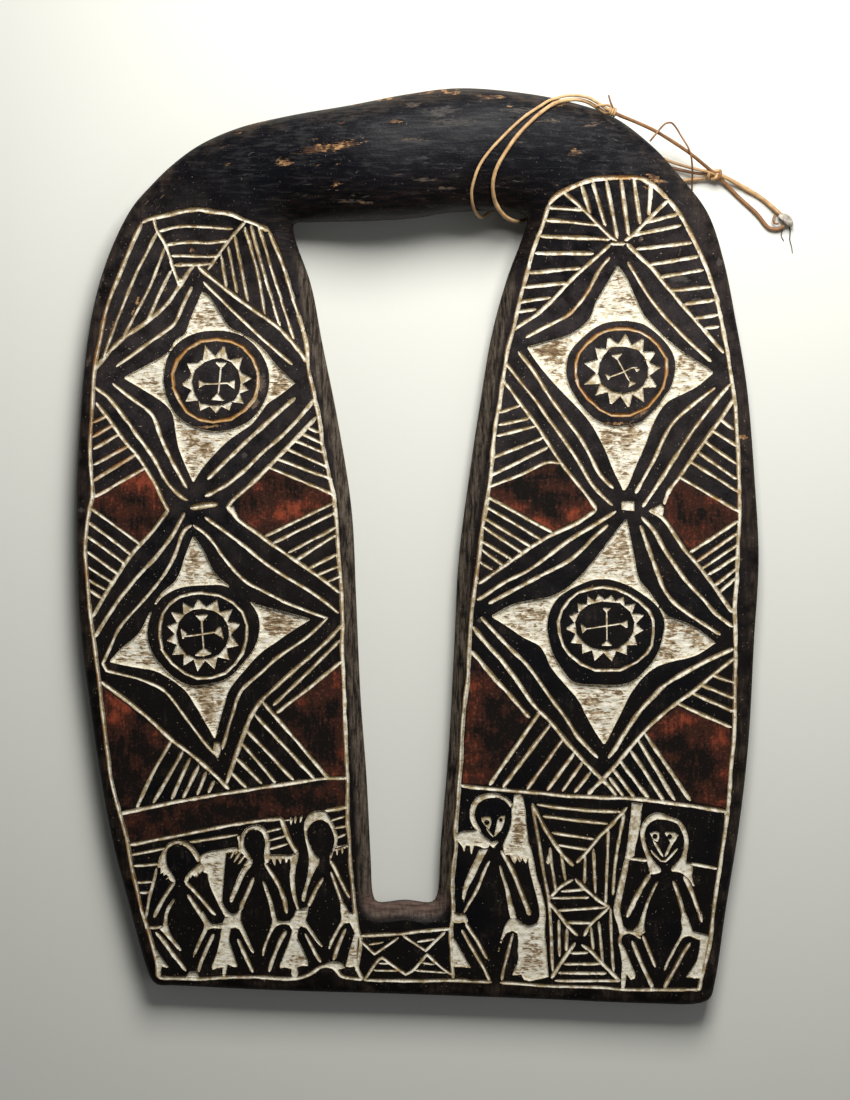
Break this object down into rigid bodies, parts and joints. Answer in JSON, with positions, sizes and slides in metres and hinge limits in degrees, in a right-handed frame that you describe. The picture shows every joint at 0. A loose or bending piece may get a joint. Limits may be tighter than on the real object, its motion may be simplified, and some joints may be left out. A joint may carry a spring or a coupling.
{
  "type": "carved wooden dance shield",
  "caption": "Flat board shield with a long tapering opening under an arched grip bar, carved with stars, discs and squatting figures, with a split-cane tie.",
  "frame": {"origin": "middle of the board's footprint on the surface it lies on, back downwards", "axes": "+Z out of the carved front face, +Y along the length towards the grip bar, +X to the right seen from the front"},
  "size_m": [0.4763, 0.6019, 0.0581],
  "materials": {
    "blackened_wood": "satin, blackened, with lime-filled carving",
    "cane": "satin split cane",
    "gum": "matt dried gum with lime"
  },
  "bodies": {
    "root": {"shield_board": "blackened_wood", "cane_loop_outer": "cane", "cane_loop_inner": "cane", "cane_spare_end": "cane", "cane_link": "cane", "cane_tail_upper": "cane", "cane_tail_lower": "cane", "cane_splinter": "cane", "cane_knot_small": "cane", "cane_knot_large": "cane", "gum_lump": "gum"}
  },
  "joints": []
}
